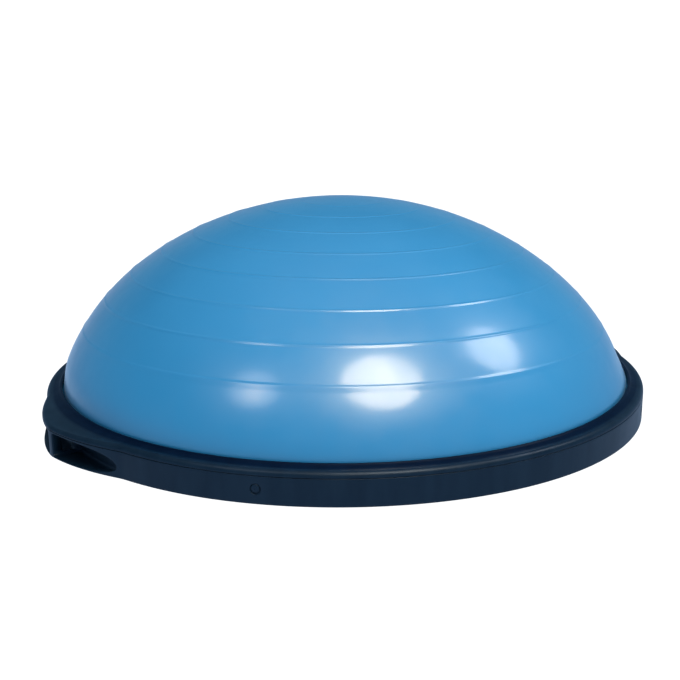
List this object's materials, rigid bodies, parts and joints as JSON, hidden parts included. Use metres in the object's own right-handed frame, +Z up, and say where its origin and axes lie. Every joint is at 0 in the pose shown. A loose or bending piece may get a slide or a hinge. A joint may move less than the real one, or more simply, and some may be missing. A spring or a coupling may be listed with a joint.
{
  "type": "balance dome trainer",
  "caption": "Inflated half dome clamped by a screwed ring to a round flat platform with two grip ears, finger scoops and a side air valve.",
  "frame": {"origin": "centre of the footprint, on the surface that the foot pads stand on", "axes": "+Z up through the dome's crown, +X through one grip ear, +Y towards the air valve"},
  "size_m": [0.688, 0.65, 0.23],
  "materials": {
    "dome_pvc": "glossy soft PVC with fine raised rings",
    "valve_pvc": "satin soft PVC",
    "plug_plastic": "satin moulded plastic",
    "rim_plastic": "satin moulded plastic with a fine grain",
    "deck_plastic": "matte moulded plastic",
    "pad_rubber": "matte rubber",
    "zinc_steel": "zinc plated"
  },
  "bodies": {
    "platform": {"platform_base": "rim_plastic", "platform_deck": "deck_plastic", "retaining_ring": "rim_plastic", "ring_screw_1": "zinc_steel", "ring_screw_2": "zinc_steel", "ring_screw_3": "zinc_steel", "ring_screw_4": "zinc_steel", "ring_screw_5": "zinc_steel", "ring_screw_6": "zinc_steel", "ring_screw_7": "zinc_steel", "ring_screw_8": "zinc_steel", "ring_screw_9": "zinc_steel", "ring_screw_10": "zinc_steel", "ring_screw_11": "zinc_steel", "ring_screw_12": "zinc_steel", "ring_screw_13": "zinc_steel", "ring_screw_14": "zinc_steel", "deck_screw_1": "zinc_steel", "deck_screw_2": "zinc_steel", "deck_screw_3": "zinc_steel", "deck_screw_4": "zinc_steel", "deck_screw_5": "zinc_steel", "deck_screw_6": "zinc_steel", "foot_pad_1": "pad_rubber", "foot_pad_2": "pad_rubber", "foot_pad_3": "pad_rubber", "foot_pad_4": "pad_rubber", "foot_pad_5": "pad_rubber", "foot_pad_6": "pad_rubber", "foot_pad_7": "pad_rubber", "foot_pad_8": "pad_rubber", "rim_rivet_1": "rim_plastic", "rim_rivet_2": "rim_plastic", "rim_rivet_3": "rim_plastic", "rim_rivet_4": "rim_plastic"},
    "dome": {"dome_bladder": "dome_pvc", "valve_socket": "valve_pvc"},
    "plug": {"valve_plug": "plug_plastic"}
  },
  "joints": [
    {"name": "dome_press", "type": "slide", "parent": "platform", "child": "dome", "axis": [0, 0, 1], "range_m": [-0.04, 0], "stiffness_N_per_m": 20000, "springref_m": 0.002, "deforming": ["dome_bladder", "valve_socket"]},
    {"name": "valve_pull", "type": "slide", "parent": "dome", "child": "plug", "axis": [0, 0.8889, 0.458], "range_m": [0, 0.03]}
  ]
}
